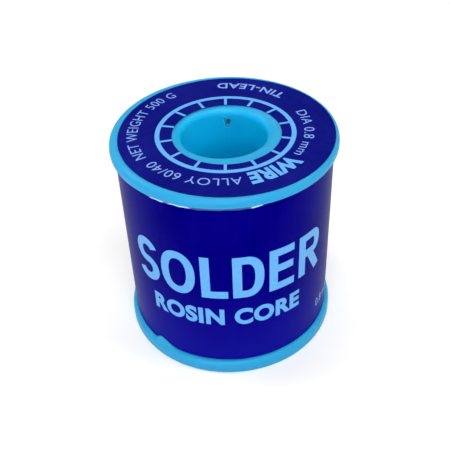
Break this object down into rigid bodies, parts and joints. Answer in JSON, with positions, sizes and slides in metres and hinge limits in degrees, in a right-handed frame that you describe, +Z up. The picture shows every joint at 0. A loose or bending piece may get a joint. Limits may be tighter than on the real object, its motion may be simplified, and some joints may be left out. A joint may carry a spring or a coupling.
{
  "type": "solder wire spool",
  "caption": "Flanged plastic spool of fine flux-cored solder wire with a through bore, a printed wrap label and round end labels.",
  "frame": {"origin": "centre of the base, on the bore axis, at the lower flange's outer face", "axes": "+Z up along the bore axis, from the lower flange to the upper flange; -Y is the front, where the wrap label's wording is"},
  "size_m": [0.054, 0.054, 0.0552],
  "materials": {
    "spool_plastic": "moulded polystyrene, gloss",
    "solder": "bright drawn tin-lead wire",
    "flux": "set rosin, clear amber",
    "label_film": "printed film, gloss"
  },
  "bodies": {
    "root": {"lower_half_spool": "spool_plastic", "upper_half_spool": "spool_plastic", "solder_layer_01": "solder", "solder_layer_02": "solder", "solder_layer_03": "solder", "solder_layer_04": "solder", "solder_layer_05": "solder", "solder_layer_06": "solder", "solder_layer_07": "solder", "solder_layer_08": "solder", "solder_layer_09": "solder", "solder_layer_10": "solder", "solder_layer_11": "solder", "solder_layer_12": "solder", "solder_layer_13": "solder", "solder_layer_14": "solder", "solder_layer_15": "solder", "solder_layer_16": "solder", "wire_start": "solder", "flux_core": "flux", "wrap_label": "label_film", "top_label": "label_film", "base_label": "label_film"}
  },
  "joints": []
}
